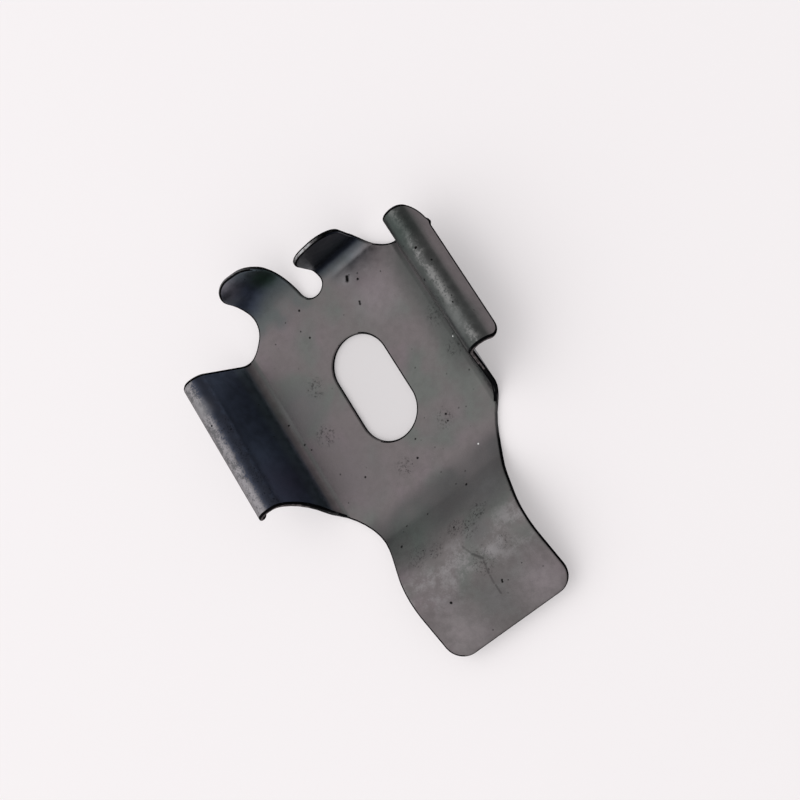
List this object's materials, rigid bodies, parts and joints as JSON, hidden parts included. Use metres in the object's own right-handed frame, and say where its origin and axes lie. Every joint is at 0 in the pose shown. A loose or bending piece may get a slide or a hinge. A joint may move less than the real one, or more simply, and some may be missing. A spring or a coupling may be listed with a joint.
{
  "type": "fuel door spring",
  "caption": "Stamped leaf spring of black steel: a slotted plate with wings that hook over at the sides, curled horns at one end and a humped tongue at the other.",
  "frame": {"origin": "centre of the slot on the plate's underside", "axes": "+Z out of the plate, towards the side that the wings, horns and hump stand up on; +Y along the slot towards the horns; +X towards the wing on the right when the horns point away"},
  "size_m": [0.0321, 0.0459, 0.008],
  "materials": {
    "black_spring_steel": "semi-matte black oxide, worn lighter on the crests"
  },
  "bodies": {
    "root": {"spring_leaf": "black_spring_steel"}
  },
  "joints": []
}
